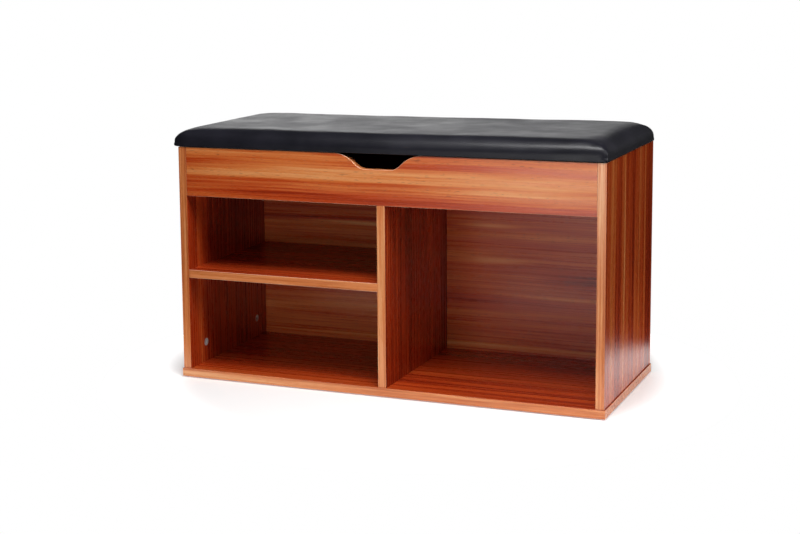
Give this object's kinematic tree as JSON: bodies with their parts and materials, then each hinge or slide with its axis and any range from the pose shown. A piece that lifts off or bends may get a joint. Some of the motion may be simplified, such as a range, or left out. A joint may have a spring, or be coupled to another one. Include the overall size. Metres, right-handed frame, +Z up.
{
  "type": "entryway bench",
  "caption": "Low storage bench with open shoe bays and a shelf, a hidden tray under a hinged padded seat, and a finger notch to lift the seat.",
  "frame": {"origin": "on the floor, under the middle of the bench's footprint", "axes": "+X to the sitter's right along the bench, +Y from the open front to the back, +Z up"},
  "size_m": [0.8, 0.344, 0.469],
  "materials": {
    "laminate": "satin red-brown wood-grain laminate on board, paler edge strips",
    "raw_board": "raw fibreboard",
    "foam": "seat foam",
    "faux_leather": "black faux leather, fine grain, soft sheen",
    "lining": "black non-woven lining",
    "zinc_steel": "bright zinc plate",
    "cast_zinc": "cast zinc alloy",
    "glide_plastic": "moulded brown plastic",
    "soft_rubber": "clear soft bumper"
  },
  "bodies": {
    "cabinet": {"base_board": "laminate", "left_side_panel": "laminate", "right_side_panel": "laminate", "centre_divider": "laminate", "left_bay_shelf": "laminate", "tray_floor": "laminate", "back_panel": "laminate", "front_fascia": "laminate", "left_front_cam_lock": "cast_zinc", "left_rear_cam_lock": "cast_zinc", "divider_front_cam_lock": "cast_zinc", "divider_rear_cam_lock": "cast_zinc", "right_front_cam_lock": "cast_zinc", "right_rear_cam_lock": "cast_zinc", "left_front_cam_dowel": "zinc_steel", "left_rear_cam_dowel": "zinc_steel", "divider_front_cam_dowel": "zinc_steel", "divider_rear_cam_dowel": "zinc_steel", "right_front_cam_dowel": "zinc_steel", "right_rear_cam_dowel": "zinc_steel", "front_left_glide": "glide_plastic", "front_right_glide": "glide_plastic", "rear_left_glide": "glide_plastic", "rear_right_glide": "glide_plastic", "left_lid_bumper": "soft_rubber", "right_lid_bumper": "soft_rubber", "left_hinge_fixed_leaf": "zinc_steel", "left_hinge_pin": "zinc_steel", "left_fixed_leaf_screw_1": "zinc_steel", "left_fixed_leaf_screw_2": "zinc_steel", "left_stay_cabinet_plate": "zinc_steel", "left_stay_cabinet_rivet": "zinc_steel", "right_hinge_fixed_leaf": "zinc_steel", "right_hinge_pin": "zinc_steel", "right_fixed_leaf_screw_1": "zinc_steel", "right_fixed_leaf_screw_2": "zinc_steel", "right_stay_cabinet_plate": "zinc_steel", "right_stay_cabinet_rivet": "zinc_steel"},
    "lid": {"lid_board": "raw_board", "seat_foam": "foam", "seat_cover": "faux_leather", "lid_lining": "lining", "left_hinge_lid_leaf": "zinc_steel", "left_lid_leaf_screw_1": "zinc_steel", "left_lid_leaf_screw_2": "zinc_steel", "left_stay_lid_bracket": "zinc_steel", "left_stay_lid_rivet": "zinc_steel", "right_hinge_lid_leaf": "zinc_steel", "right_lid_leaf_screw_1": "zinc_steel", "right_lid_leaf_screw_2": "zinc_steel", "right_stay_lid_bracket": "zinc_steel", "right_stay_lid_rivet": "zinc_steel"},
    "left_lower_arm": {"left_stay_lower_arm": "zinc_steel", "left_stay_elbow_rivet": "zinc_steel"},
    "left_upper_arm": {"left_stay_upper_arm": "zinc_steel"},
    "right_lower_arm": {"right_stay_lower_arm": "zinc_steel", "right_stay_elbow_rivet": "zinc_steel"},
    "right_upper_arm": {"right_stay_upper_arm": "zinc_steel"}
  },
  "joints": [
    {"name": "lid_hinge", "type": "hinge", "parent": "cabinet", "child": "lid", "pos_m": [0, 0.168, 0.43], "axis": [-1, 0, 0], "range_deg": [0, 90]},
    {"name": "left_stay_foot", "type": "hinge", "parent": "cabinet", "child": "left_lower_arm", "pos_m": [-0.3799, 0.1395, 0.3725], "axis": [-1, 0, 0], "range_deg": [0, 96.6]},
    {"name": "left_stay_elbow", "type": "hinge", "parent": "left_lower_arm", "child": "left_upper_arm", "pos_m": [-0.3776, 0.08563, 0.36718], "axis": [1, 0, 0], "range_deg": [0, 100.3]},
    {"name": "right_stay_foot", "type": "hinge", "parent": "cabinet", "child": "right_lower_arm", "pos_m": [0.3799, 0.1395, 0.3725], "axis": [-1, 0, 0], "range_deg": [0, 96.6]},
    {"name": "right_stay_elbow", "type": "hinge", "parent": "right_lower_arm", "child": "right_upper_arm", "pos_m": [0.3776, 0.08563, 0.36718], "axis": [1, 0, 0], "range_deg": [0, 100.3]}
  ],
  "couplings": [
    {"joint": "left_stay_foot", "follows": "lid_hinge", "ratio": 1.0726},
    {"joint": "left_stay_elbow", "follows": "lid_hinge", "ratio": 1.1129},
    {"joint": "right_stay_foot", "follows": "lid_hinge", "ratio": 1.0726},
    {"joint": "right_stay_elbow", "follows": "lid_hinge", "ratio": 1.1129}
  ]
}
